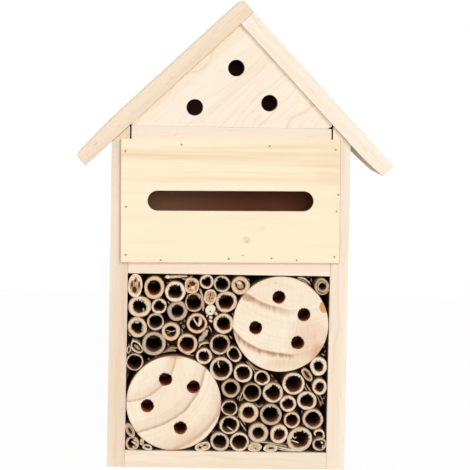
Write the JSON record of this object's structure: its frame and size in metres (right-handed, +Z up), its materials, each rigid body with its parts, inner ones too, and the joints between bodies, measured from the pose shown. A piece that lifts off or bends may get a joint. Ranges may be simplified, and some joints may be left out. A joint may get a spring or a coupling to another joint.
{
  "type": "insect hotel",
  "caption": "Small wooden house with a gabled roof, a slotted front panel, a drilled gable and a lower room packed with cut canes and drilled logs.",
  "frame": {"origin": "middle of the body's base, on the surface it stands on", "axes": "+Z up, -Y towards the open front, +X to the viewer's right"},
  "size_m": [0.1887, 0.078, 0.2805],
  "materials": {
    "wall_wood": "raw sawn",
    "gable_wood": "raw planed",
    "roof_wood": "raw sawn",
    "panel_plywood": "raw sanded",
    "back_plywood": "raw sanded",
    "log_wood": "raw sawn end grain",
    "cane": "raw sawn",
    "crushed_cane": "raw broken",
    "pin_steel": "dull"
  },
  "bodies": {
    "root": {"left_side_wall": "wall_wood", "right_side_wall": "wall_wood", "floor_board": "wall_wood", "middle_shelf": "wall_wood", "attic_floor": "wall_wood", "front_gable": "gable_wood", "front_panel": "panel_plywood", "back_panel": "back_plywood", "left_roof_board": "roof_wood", "right_roof_board": "roof_wood", "upper_log": "log_wood", "lower_log": "log_wood", "panel_pins": "pin_steel", "wall_pins": "pin_steel", "back_pins": "pin_steel", "roof_pins": "pin_steel", "cane_01": "cane", "cane_02": "cane", "cane_03": "cane", "cane_04": "cane", "cane_05": "cane", "cane_06": "cane", "cane_07": "cane", "cane_08": "cane", "cane_09": "cane", "cane_10": "cane", "cane_11": "cane", "cane_12": "cane", "cane_13": "cane", "cane_14": "cane", "cane_15": "cane", "cane_16": "cane", "cane_17": "cane", "cane_18": "cane", "cane_19": "cane", "cane_20": "cane", "cane_21": "cane", "cane_22": "cane", "cane_23": "cane", "cane_24": "cane", "cane_25": "cane", "cane_26": "cane", "cane_27": "cane", "cane_28": "cane", "cane_29": "cane", "cane_30": "cane", "cane_31": "cane", "cane_32": "cane", "cane_33": "cane", "cane_34": "cane", "cane_35": "cane", "cane_36": "cane", "cane_37": "cane", "cane_38": "cane", "cane_39": "cane", "cane_40": "cane", "cane_41": "cane", "thin_canes": "cane", "crushed_canes": "crushed_cane", "cane_splinters": "crushed_cane"}
  },
  "joints": []
}
